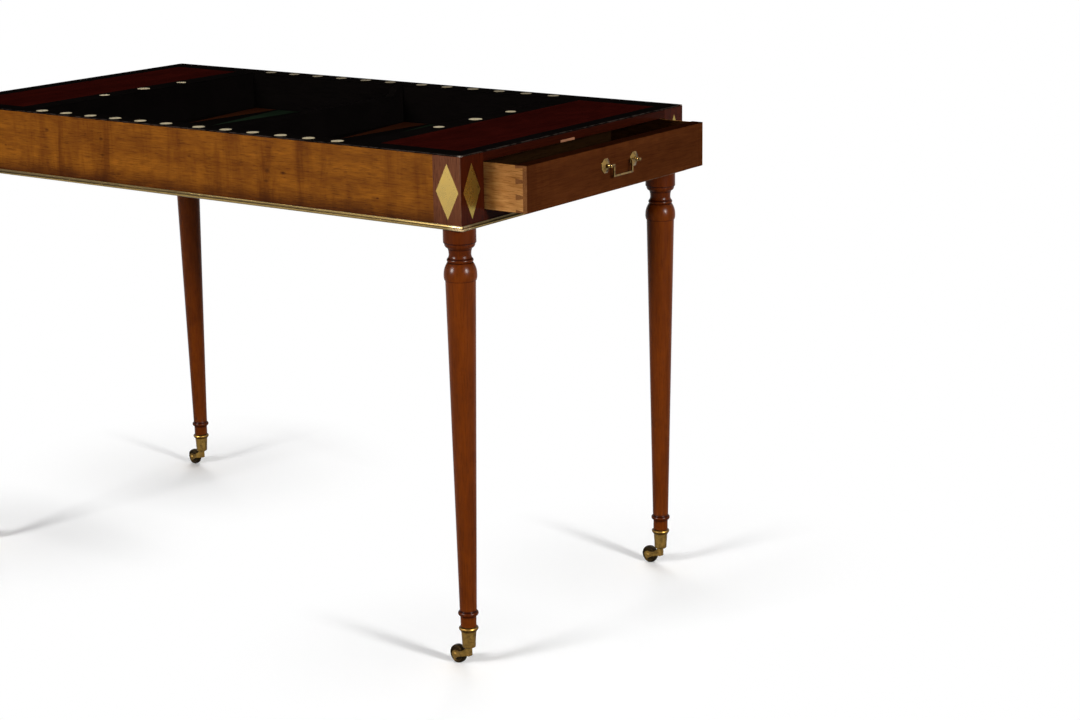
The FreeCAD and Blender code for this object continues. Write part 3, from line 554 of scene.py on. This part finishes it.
@dataclass(frozen=True)
class WoodFinish(Finish):
    """A polished, stained or bare wood, or bone."""

    pale: Colour
    dark: Colour
    pore: Colour
    grain: Along
    figure: float = 0.75
    pores: float = 0.5
    knots: float = 0.0
    stretch: float = 0.055
    roughness: float = 0.3
    rough_spread: float = 0.14
    specular: float = 0.2
    coat: float = 0.03
    coat_roughness: float = 0.12
    wear: float = 0.0
    wear_colour: Colour = (0.30, 0.22, 0.16)
    darker_foot: float = 0.0
    darker_foot_tint: Colour = (0.42, 0.30, 0.26)
    mottle: float = 0.2
    stain: float = 0.0

    def surface(self, effects: SharedEffects, tree: NodeTree, place: Socket) -> bpy.types.Node:
        """Places the grain, which runs along the board."""
        return tree.group(effects.groups[Effect.GRAIN], {
            "Vector": place, "Fibres": self.grain.scales(self.stretch, 1.0),
            "Knot Spread": self.grain.scales(KNOTS_ALONG, KNOTS_ACROSS),
            "Stain Spread": self.grain.scales(STAINS_ALONG, STAINS_ACROSS),
            "Pale": rgba(self.pale), "Dark": rgba(self.dark), "Pore": rgba(self.pore),
            "Figure": self.figure, "Pores": self.pores, "Knots": self.knots, "Mottle": self.mottle,
            "Stain": self.stain, "Smooth": self.roughness, "Smear": self.rough_spread})

    def gloss(self) -> Inputs:
        """The polish."""
        return {"Specular IOR Level": self.specular, "Coat Weight": self.coat,
                "Coat Roughness": self.coat_roughness}

    def worn(self, effects: SharedEffects, tree: NodeTree, place: Socket, colour: Socket) -> Socket:
        """Adds worn arrises and a darker band at the foot, where the wood has them.

        Args:
            effects: The shared node groups.
            tree: The material's tree.
            place: The place on the surface.
            colour: The wood's colour.

        Returns:
            The colour after wear.
        """
        if self.wear == 0:
            return colour
        return tree.group(effects.groups[Effect.WEAR], {
            "Vector": place, "Color": colour, "Worn": rgba(self.wear_colour), "Wear": self.wear,
            "Darker Foot Tint": rgba(self.darker_foot_tint), "Darker Foot": self.darker_foot}).outputs["Color"]


@dataclass(frozen=True)
class MetalFinish(Finish):
    """Brass or iron with tarnish."""

    clean: Colour
    tarnish: Colour
    amount: float
    scale: float
    smooth: float
    rough: float
    bump: float = field(default=0.06, kw_only=True)
    bump_depth: float = field(default=0.0003, kw_only=True)

    def surface(self, effects: SharedEffects, tree: NodeTree, place: Socket) -> bpy.types.Node:
        """Places the patina."""
        return tree.group(effects.groups[Effect.PATINA], {
            "Vector": place, "Clean": rgba(self.clean), "Tarnish": rgba(self.tarnish),
            "Amount": self.amount, "Scale": self.scale, "Smooth": self.smooth, "Rough": self.rough})

    def gloss(self) -> Inputs:
        """Bare metal."""
        return {"Metallic": 1.0}


APRON_WOOD = WoodFinish(
    "apron_mahogany", pale=(0.290, 0.095, 0.0068), dark=(0.088, 0.0205, 0.0018), pore=(0.022, 0.005, 0.0010),
    grain=Along.X, figure=0.7, knots=1.0, specular=0.01, mottle=0.4, stain=0.75,
    wear=0.35, wear_colour=(0.30, 0.17, 0.10), darker_foot=1.0, darker_foot_tint=(0.30, 0.23, 0.26))
# The corner blocks' end faces are painted darker: painted shade on the ends.
BLOCK_WOOD = WoodFinish(
    "corner_block_mahogany", pale=(0.190, 0.064, 0.026), dark=(0.092, 0.027, 0.011),
    pore=(0.020, 0.006, 0.003), grain=Along.Z, figure=0.9, pores=0.6, specular=0.015,
    wear=0.35, wear_colour=(0.22, 0.13, 0.09), darker_foot=0.5,
    changes=(FaceTint(Along.X, HALF_L - END_DEPTH, (0.28, 0.115, 0.05)),))
# Very dark mahogany for the end rails: painted shade under the rim and on the ends.
RAIL_WOOD_PAINTED_SHADE = WoodFinish(
    "rail_mahogany_painted_shade", pale=(0.036, 0.0055, 0.0018), dark=(0.016, 0.0024, 0.0009), pore=(0.005, 0.001, 0.0005),
    grain=Along.Y, specular=0.004, wear=0.2)
# The drawer fronts' top faces are painted darker: painted shade. The fronts' dark colour is partly their own
# and partly painted shade on the ends.
FRONT_WOOD = WoodFinish(
    "drawer_front_mahogany", pale=(0.092, 0.0262, 0.0066), dark=(0.044, 0.0107, 0.0030),
    pore=(0.022, 0.006, 0.0015), grain=Along.Y, figure=0.9, pores=0.35, knots=0.3, specular=0.0, coat=0.0,
    stain=0.55,
    changes=(FaceTint(Along.Y, DRAWER_HALF - DRAWER_DEPTH, (2.7, 4.0, 5.2)),
             FaceTint(Along.Z, DRAWER_TOP - DRAWER_DEPTH, (0.22, 0.19, 0.2))))
# Narrow dark bands in the turned grooves are dirt and painted shade; the broad dark band round the capital is
# painted shade under the frame, and a broad band darkens the bead.
LEG_WOOD = WoodFinish(
    "leg_mahogany", pale=(0.180, 0.0365, 0.0022), dark=(0.090, 0.0165, 0.0012), pore=(0.030, 0.005, 0.0005),
    grain=Along.Z, figure=0.72, pores=0.3, roughness=0.24, rough_spread=0.04, specular=0.04, coat=0.0,
    mottle=0.5,
    changes=(Groove(COLLAR_QUIRK, half=0.0012), Groove(OVOLO_QUIRK, half=0.001), Groove(RING_TOP),
             Groove(RING_QUIRK, half=0.001), Groove(BULB_FOOT, half=0.0008), Groove(BEAD_TOP),
             Groove(BEAD_FOOT), Groove(BEAD, half=0.009, colour=(0.6, 0.52, 0.5)),
             Groove(CAPITAL, half=0.048, colour=(0.66, 0.57, 0.55))))
PANEL_WOOD = WoodFinish(
    "panel_mahogany", pale=(0.038, 0.0042, 0.0026), dark=(0.014, 0.0016, 0.0011),
    pore=(0.005, 0.0008, 0.0006), grain=Along.Y, figure=0.9, roughness=0.6, specular=0.0, coat=0.0,
    mottle=0.45)
# All four rim corners are paler: part wear, part painted highlight.
EBONY = WoodFinish(
    "ebonised_pearwood", pale=(0.0042, 0.0032, 0.0029), dark=(0.0022, 0.0018, 0.0016),
    pore=(0.0010, 0.0008, 0.0008), grain=Along.X, roughness=0.5, specular=0.0, coat=0.0,
    wear=0.45, wear_colour=(0.085, 0.060, 0.048),
    changes=(WornHighlitCorner((HALF_L, HALF_W, TOP_Z), radius=0.006, colour=(0.45, 0.36, 0.30)),))
# The inner faces of the drawer sides are painted nearly black: painted shade inside the drawer.
OAK_SIDE = WoodFinish(
    "drawer_side_oak", pale=(0.53, 0.262, 0.083), dark=(0.26, 0.105, 0.026), pore=(0.12, 0.042, 0.010),
    grain=Along.X, figure=0.95, pores=0.75, roughness=0.6, specular=0.0004, coat=0.0, bump=0.25, mottle=0.6,
    changes=(FaceTint(Along.Y, DRAWER_HALF - INNER_DEPTH, (0.05, 0.036, 0.025), within=True),))
# Very dark oak for the drawer's back and bottom: painted shade inside the drawer.
OAK_ACROSS_PAINTED_SHADE = WoodFinish(
    "drawer_back_oak_painted_shade", pale=(0.022, 0.010, 0.0032), dark=(0.012, 0.005, 0.0016), pore=(0.006, 0.0025, 0.001),
    grain=Along.Y, pores=0.7, roughness=0.6, specular=0.0004, coat=0.0, bump=0.25)
# Dark oak for the hidden bearers: darkened as painted shade inside the frame.
OAK_INNER = WoodFinish(
    "runner_oak", pale=(0.24, 0.12, 0.042), dark=(0.14, 0.065, 0.022), pore=(0.06, 0.026, 0.009),
    grain=Along.X, pores=0.7, roughness=0.65, specular=0.0004, coat=0.0, bump=0.25)
SLIP_WOOD = WoodFinish(
    "pale_slip", pale=(0.36, 0.165, 0.092), dark=(0.26, 0.11, 0.055), pore=(0.10, 0.04, 0.02),
    grain=Along.Y, roughness=0.5, specular=0.02, coat=0.0)
RED_POINT = WoodFinish(
    "red_point_veneer", pale=(0.036, 0.010, 0.0036), dark=(0.017, 0.0043, 0.0015), pore=(0.008, 0.002, 0.001),
    grain=Along.Y, roughness=0.45, specular=0.0004, coat=0.0)
GREEN_POINT = WoodFinish(
    "green_point_veneer", pale=(0.008, 0.015, 0.008), dark=(0.004, 0.008, 0.004), pore=(0.002, 0.003, 0.002),
    grain=Along.Y, roughness=0.45, specular=0.0004, coat=0.0)
# The far row of discs is painted darker: painted shade.
BONE = WoodFinish(
    "bone", pale=(0.46, 0.385, 0.225), dark=(0.33, 0.26, 0.14), pore=(0.16, 0.11, 0.055),
    grain=Along.X, figure=0.6, pores=0.4, stretch=0.35, roughness=0.35, specular=0.02, coat=0.0,
    changes=(FaceTint(Along.Y, FAR_DISCS, (0.34, 0.31, 0.24), mirrored=False),))
# The lozenges on the end faces are painted brighter: painted light on the ends.
LOZENGE_BRASS = MetalFinish(
    "lozenge_brass", clean=(0.245, 0.168, 0.050), tarnish=(0.180, 0.115, 0.027),
    amount=0.55, scale=75.0, smooth=0.26, rough=0.34,
    changes=(FaceTint(Along.X, HALF_L - END_DEPTH, (1.28, 1.34, 1.0)),))
# The moulding's four corners are paler: part wear, part painted highlight.
MOULDING_BRASS = MetalFinish(
    "moulding_brass", clean=(0.120, 0.082, 0.029), tarnish=(0.040, 0.027, 0.011),
    amount=0.7, scale=70.0, smooth=0.34, rough=0.5,
    changes=(WornHighlitCorner((HALF_L, HALF_W, FRAME_FOOT), radius=0.024, colour=(0.24, 0.175, 0.095)),))
# Narrow dark bands at the cup's mouth and under its bead are dirt and painted shade, and a broad band darkens
# the bead.
FITTING_BRASS = MetalFinish(
    "fitting_brass", clean=(0.255, 0.150, 0.036), tarnish=(0.036, 0.020, 0.006),
    amount=0.8, scale=120.0, smooth=0.36, rough=0.56,
    changes=(Groove(CUP_BEAD_FOOT, half=0.0012), Groove(CUP_MOUTH),
             Groove(CUP_BEAD, half=0.006, colour=(0.6, 0.56, 0.5))))
PULL_BRASS = MetalFinish(
    "pull_brass", clean=(0.24, 0.15, 0.046), tarnish=(0.04, 0.022, 0.007),
    amount=0.8, scale=180.0, smooth=0.14, rough=0.3)
WHEEL_BRASS = MetalFinish(
    "wheel_brass", clean=(0.032, 0.019, 0.006), tarnish=(0.006, 0.004, 0.002),
    amount=1.0, scale=170.0, smooth=0.35, rough=0.65)
IRON = MetalFinish(
    "screw_iron", clean=(0.16, 0.15, 0.14), tarnish=(0.06, 0.04, 0.03),
    amount=0.7, scale=200.0, smooth=0.4, rough=0.65)


@dataclass(frozen=True)
class EdgeEasing:
    """How sharp edges are rounded and shaded."""

    weld_gap: float = 1e-5
    segments: int = 2
    eased_over_deg: float = 40.0
    crisp_over_deg: float = 35.0
    face_weight: int = 100

    def apply(self, piece: bpy.types.Object, width: float) -> None:
        """Adds modifiers that round a piece's sharp edges and shade it smoothly.

        Args:
            piece: The object to treat.
            width: Width of the rounding, in metres, or CRISP.
        """
        piece.data.shade_smooth()
        weld = piece.modifiers.new("weld", "WELD")
        weld.merge_threshold = self.weld_gap
        if width == CRISP:
            split = piece.modifiers.new("crisp_edges", "EDGE_SPLIT")
            split.split_angle = math.radians(self.crisp_over_deg)
            return
        bevel = piece.modifiers.new("eased_edges", "BEVEL")
        bevel.width = width
        bevel.segments = self.segments
        bevel.limit_method = "ANGLE"
        bevel.angle_limit = math.radians(self.eased_over_deg)
        bevel.harden_normals = False
        bevel.use_clamp_overlap = True
        normals = piece.modifiers.new("face_normals", "WEIGHTED_NORMAL")
        normals.keep_sharp = True
        normals.weight = self.face_weight


class Finisher:
    """Builds each finish once and gives it to CAD nodes and new pieces."""

    def __init__(self) -> None:
        """Starts with the shared groups and no materials."""
        self.effects = SharedEffects()
        self.easing = EdgeEasing()
        self.made: Dict[str, bpy.types.Material] = {}

    def material(self, finish: Finish) -> bpy.types.Material:
        """The finish's material, built on first use.

        Args:
            finish: The finish.

        Returns:
            Its material.
        """
        if finish.name not in self.made:
            self.made[finish.name] = finish.build(self.effects)
        return self.made[finish.name]

    def dress(self, finish: Finish, arris: float, *nodes: str) -> None:
        """Gives CAD nodes their finish and softly eased edges.

        Args:
            finish: The finish to put on every slot.
            arris: Width of the eased edges, in metres, or CRISP.
            *nodes: The nodes' names.
        """
        for node in nodes:
            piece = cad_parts[node]
            piece.data.materials.clear()
            piece.data.materials.append(self.material(finish))
            self.easing.apply(piece, arris)
            log.info("dressed %s in %s", node, finish.name)


@dataclass
class TableFrame:
    """Aprons, corner blocks, rails and their brass."""

    finisher: Finisher
    arris: float = 0.0008
    slip_arris: float = 0.0002
    moulding_arris: float = 0.0003
    corners: Sequence[str] = ("front_right", "front_left", "back_right", "back_left")

    def dress(self) -> None:
        """Puts the finishes on the frame's nodes."""
        give = self.finisher.dress
        give(APRON_WOOD, self.arris, "front_apron", "back_apron")
        for side in ("right", "left"):
            give(RAIL_WOOD_PAINTED_SHADE, self.arris, side + "_top_rail", side + "_bottom_rail")
        give(BLOCK_WOOD, self.arris, *("corner_block_" + corner for corner in self.corners))
        give(SLIP_WOOD, self.slip_arris, "top_rail_slip")
        give(MOULDING_BRASS, self.moulding_arris, "brass_moulding")
        give(LOZENGE_BRASS, CRISP, "brass_lozenges")


@dataclass
class PlayingWell:
    """The rim, panels, discs and everything sunk in the well."""

    finisher: Finisher
    rim_arris: float = 0.0007
    board_arris: float = 0.0004
    disc_arris: float = 0.0002

    def dress(self) -> None:
        """Puts the finishes on the nodes of the top and the well."""
        give = self.finisher.dress
        give(EBONY, self.rim_arris, "long_rims", "end_rims", "well_bands")
        give(EBONY, self.board_arris, "well_linings", "well_end_walls", "well_floor", "well_divider")
        give(PANEL_WOOD, self.board_arris, "right_end_panel", "left_end_panel")
        give(BONE, self.disc_arris, "bone_discs")
        give(RED_POINT, CRISP, "red_points")
        give(GREEN_POINT, CRISP, "green_points")


@dataclass
class Drawer:
    """One end drawer with its pull."""

    finisher: Finisher
    side: str
    front_arris: float = 0.0007
    board_arris: float = 0.0004
    bottom_arris: float = 0.0003
    pull_arris: float = 0.0002

    def dress(self) -> None:
        """Puts the finishes on the drawer's nodes."""
        give = self.finisher.dress
        drawer = self.side + "_drawer_"
        give(FRONT_WOOD, self.front_arris, drawer + "front")
        give(OAK_SIDE, self.board_arris, drawer + "sides")
        give(OAK_ACROSS_PAINTED_SHADE, self.board_arris, drawer + "back")
        give(OAK_ACROSS_PAINTED_SHADE, self.bottom_arris, drawer + "bottom")
        for part in ("rosettes", "posts", "bail"):
            give(PULL_BRASS, self.pull_arris, self.side + "_pull_" + part)


@dataclass
class LegWithCaster:
    """One turned leg and its caster."""

    finisher: Finisher
    corner: str
    brass_arris: float = 0.0003

    def dress(self) -> None:
        """Puts the finishes on the leg and the caster's moving pieces."""
        give = self.finisher.dress
        give(LEG_WOOD, CRISP, "leg_" + self.corner)
        give(FITTING_BRASS, self.brass_arris, "caster_horn_" + self.corner, "caster_axle_" + self.corner)
        give(WHEEL_BRASS, self.brass_arris, "caster_wheel_" + self.corner)


@dataclass
class Underside:
    """The bearers inside the frame, the iron screws that hold them, and the caster cups."""

    finisher: Finisher
    bearer_arris: float = 0.0006
    cup_arris: float = 0.0002
    screw_r: float = 0.0042
    screw_h: float = 0.0009
    screw_profile: Sequence[Tuple[float, float]] = ((1.0, 0.0), (1.0, 0.4), (0.8, 0.85), (0.35, 1.0))
    slot_w: float = 0.0011
    slot_d: float = 0.0006
    slot_above: float = 0.3
    slot_turn: Tuple[float, float] = (40.0, 17.0)
    sides: int = 24
    cleat_screws: Sequence[float] = (-0.27, -0.09, 0.09, 0.27)
    cleat_inset: float = 0.007
    runner_screws: Sequence[float] = (0.36, 0.44)
    runner_inset: float = 0.014

    def dress(self) -> None:
        """Puts the finishes on the hidden bearers and the cups, and adds the screws."""
        self.finisher.dress(OAK_INNER, self.bearer_arris,
                            "floor_cleats", "panel_bearers", "drawer_runners", "drawer_stops")
        self.finisher.dress(FITTING_BRASS, self.cup_arris, "caster_cups")
        cleat_low, cleat_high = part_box("floor_cleats")
        runner_low, runner_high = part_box("drawer_runners")
        cleat_y = cleat_high.y - self.cleat_inset
        runner_y = runner_high.y - self.runner_inset
        for row in (-1, 1):
            for number, x in enumerate(self.cleat_screws):
                self.add_screw(f"cleat_screw_{row + 1}_{number}", Vector((x, row * cleat_y, cleat_low.z)))
            for end in (-1, 1):
                for number, x in enumerate(self.runner_screws):
                    self.add_screw(f"runner_screw_{row + 1}_{end + 1}_{number}",
                                   Vector((end * x, row * runner_y, runner_low.z)))

    def add_screw(self, name: str, place: Vector) -> None:
        """Adds a slotted, slightly domed screw head that faces down.

        Args:
            name: The piece's name.
            place: Centre of the head on the board's underside.
        """
        mesh = bpy.data.meshes.new(name)
        shape = self.screw_head()
        turn = Matrix.Rotation(place.x * self.slot_turn[0] + place.y * self.slot_turn[1], 4, "Z")
        shape.transform(Matrix.Translation(place) @ turn)
        shape.to_mesh(mesh)
        shape.free()
        piece = bpy.data.objects.new(name, mesh)
        bpy.context.scene.collection.objects.link(piece)
        mesh.materials.append(self.finisher.material(IRON))
        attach(piece, "table")
        log.info("added %s", name)

    def screw_head(self) -> bmesh.types.BMesh:
        """Makes a screw head at the origin: rings of points from its rim to its crown, with a slot.

        Returns:
            The head's mesh, for its user to free.
        """
        shape = bmesh.new()
        turns = [2 * math.pi * k / self.sides for k in range(self.sides)]
        rings = []
        for share, rise in self.screw_profile:
            radius = self.screw_r * share
            rings.append([shape.verts.new((radius * math.cos(a), radius * math.sin(a), -self.screw_h * rise))
                          for a in turns])
        for lower, upper in zip(rings, rings[1:]):
            for k in range(self.sides):
                n = (k + 1) % self.sides
                shape.faces.new((lower[k], upper[k], upper[n], lower[n]))
        shape.faces.new(rings[-1])
        shape.faces.new(list(reversed(rings[0])))
        for vert in shape.verts:
            if vert.co.z < -self.screw_h * self.slot_above and abs(vert.co.y) < self.slot_w:
                vert.co.z += self.slot_d
        bmesh.ops.recalc_face_normals(shape, faces=shape.faces)
        return shape


@dataclass(frozen=True)
class Lamp:
    """A rectangular softbox, or a card that shows only as a highlight on polish."""

    name: str
    place: Place
    target: Place
    size: Tuple[float, float]
    watts: float
    use: LampUse

    def build(self) -> None:
        """Adds the lamp to the scene, facing its target."""
        data = bpy.data.lights.new(self.name, "AREA")
        data.shape = "RECTANGLE"
        data.size, data.size_y = self.size
        data.energy = self.watts
        lamp = bpy.data.objects.new(self.name, data)
        lamp.location = self.place
        lamp.visible_diffuse = self.use is LampUse.LIGHT
        lamp.visible_glossy = self.use is LampUse.HIGHLIGHT
        lamp.rotation_euler = (Vector(self.target) - Vector(self.place)).to_track_quat("-Z", "Y").to_euler()
        bpy.context.scene.collection.objects.link(lamp)


# The point on the front right leg that the main lamps face
LAMP_AIM = (0.494, -0.2, 0.52)
LAMPS = (
    Lamp("left_softbox", (-0.55, -3.15, 1.65), LAMP_AIM, (0.9, 0.8), 82.0, LampUse.LIGHT),
    Lamp("right_softbox", (3.65, -0.65, 1.65), LAMP_AIM, (0.4, 0.5), 95.0, LampUse.LIGHT),
    Lamp("overhead_softbox", (0.4, 0.3, 3.4), (0.2, 0.0, 0.6), (2.2, 2.2), 14.0, LampUse.LIGHT),
    Lamp("back_fill", (-2.2, 2.9, 2.3), (0.0, 0.0, 0.5), (3.2, 2.4), 100.0, LampUse.LIGHT),
    Lamp("left_card", (-1.0, -3.05, 1.6), LAMP_AIM, (0.65, 0.8), 460.0, LampUse.HIGHLIGHT),
    Lamp("right_card", (3.65, -0.6, 1.6), LAMP_AIM, (0.65, 0.8), 460.0, LampUse.HIGHLIGHT),
)


@dataclass
class Studio:
    """Floor, lamps, world and the camera at the photograph's view."""

    focal_px: float = 2267.8
    image_width_px: int = 1080
    sensor_mm: float = 36.0
    azimuth_deg: float = 35.42
    elevation_deg: float = 14.48
    roll_deg: float = -0.83
    camera_place: Place = (2.3095, -2.6225, 1.214)
    floor_half: float = 30.0
    floor_paint: Colour = (0.35, 0.35, 0.35)
    floor_seen: Colour = (1.08, 1.08, 1.08)
    world_strength: float = 0.06
    clear_near: float = 0.03
    clear_far: float = 0.38

    def build(self) -> None:
        """Makes everything round the object."""
        self.make_floor()
        self.make_world()
        for lamp in LAMPS:
            lamp.build()
        self.make_camera()
        bpy.context.scene.view_settings.view_transform = "Standard"

    def make_floor(self) -> None:
        """A floor that shows soft shadows round the feet and is white away from them."""
        half = self.floor_half
        mesh = bpy.data.meshes.new("floor")
        corners = [(-half, -half, 0), (half, -half, 0), (half, half, 0), (-half, half, 0)]
        mesh.from_pydata(corners, [], [(0, 1, 2, 3)])
        floor = bpy.data.objects.new("floor", mesh)
        bpy.context.scene.collection.objects.link(floor)
        material = bpy.data.materials.new("pale_floor")
        material.use_nodes = True
        tree = NodeTree(material.node_tree)
        nodes = material.node_tree.nodes
        nodes.remove(nodes["Principled BSDF"])
        ray = tree.add("ShaderNodeLightPath")
        pale = tree.mix(ray.outputs["Is Camera Ray"], rgba(self.floor_paint), rgba(self.floor_seen))
        paint = tree.add("ShaderNodeBsdfDiffuse", {"Color": pale}).outputs[0]
        glow = tree.add("ShaderNodeEmission", {"Color": WHITE, "Strength": 1.0}).outputs[0]
        place = tree.add("ShaderNodeTexCoord").outputs["Object"]
        away = tree.measure("DISTANCE", tree.vector("ABSOLUTE", place), LEG_FOOT)
        white = tree.span(away, self.clear_near, self.clear_far)
        seen = tree.math("MULTIPLY", self.shown_rays(tree, ray), white)
        mixed = tree.add("ShaderNodeMixShader", {0: seen, 1: paint, 2: glow}).outputs[0]
        tree.fill(nodes["Material Output"], {"Surface": mixed})
        mesh.materials.append(material)

    def make_world(self) -> None:
        """A soft even surround, white where the camera sees it."""
        world = bpy.data.worlds.new("surround")
        bpy.context.scene.world = world
        world.use_nodes = True
        tree = NodeTree(world.node_tree)
        shown = self.shown_rays(tree, tree.add("ShaderNodeLightPath"))
        lift = tree.math("MULTIPLY", shown, 1.0 - self.world_strength)
        strength = tree.math("ADD", lift, self.world_strength)
        tree.fill(world.node_tree.nodes["Background"], {"Color": WHITE, "Strength": strength})

    @staticmethod
    def shown_rays(tree: NodeTree, ray: bpy.types.Node) -> Socket:
        """Finds the rays that show the white surround: the camera's, and those off polish and through glass.

        Args:
            tree: The node tree to add to.
            ray: Its Light Path node.

        Returns:
            1 for those rays, 0 for the light that reaches surfaces.
        """
        bounced = tree.math("MAXIMUM", ray.outputs["Is Glossy Ray"], ray.outputs["Is Transmission Ray"])
        return tree.math("MAXIMUM", ray.outputs["Is Camera Ray"], bounced)

    def make_camera(self) -> None:
        """Sets the camera that the photograph was taken with."""
        azimuth = math.radians(self.azimuth_deg)
        elevation = math.radians(self.elevation_deg)
        roll = math.radians(self.roll_deg)
        forward = Vector((-math.sin(azimuth) * math.cos(elevation), math.cos(azimuth) * math.cos(elevation),
                          -math.sin(elevation)))
        right = Vector((math.cos(azimuth), math.sin(azimuth), 0.0))
        up = right.cross(forward)
        rolled_right = right * math.cos(roll) + up * math.sin(roll)
        rolled_up = up * math.cos(roll) - right * math.sin(roll)
        data = bpy.data.cameras.new("camera")
        data.sensor_width = self.sensor_mm
        data.lens = self.focal_px * self.sensor_mm / self.image_width_px
        camera = bpy.data.objects.new("camera", data)
        turn = Matrix((rolled_right, rolled_up, -forward)).transposed().to_4x4()
        camera.matrix_world = Matrix.Translation(Vector(self.camera_place)) @ turn
        bpy.context.scene.collection.objects.link(camera)
        bpy.context.scene.camera = camera


def main() -> None:
    """Builds each sub-assembly's looks in order."""
    logging.basicConfig(level=logging.INFO)
    finisher = Finisher()
    table = TableFrame(finisher)
    table.dress()
    PlayingWell(finisher).dress()
    for side in ("right", "left"):
        Drawer(finisher, side).dress()
    for corner in table.corners:
        LegWithCaster(finisher, corner).dress()
    Underside(finisher).dress()
    Studio().build()


if __name__ == "__main__":
    main()
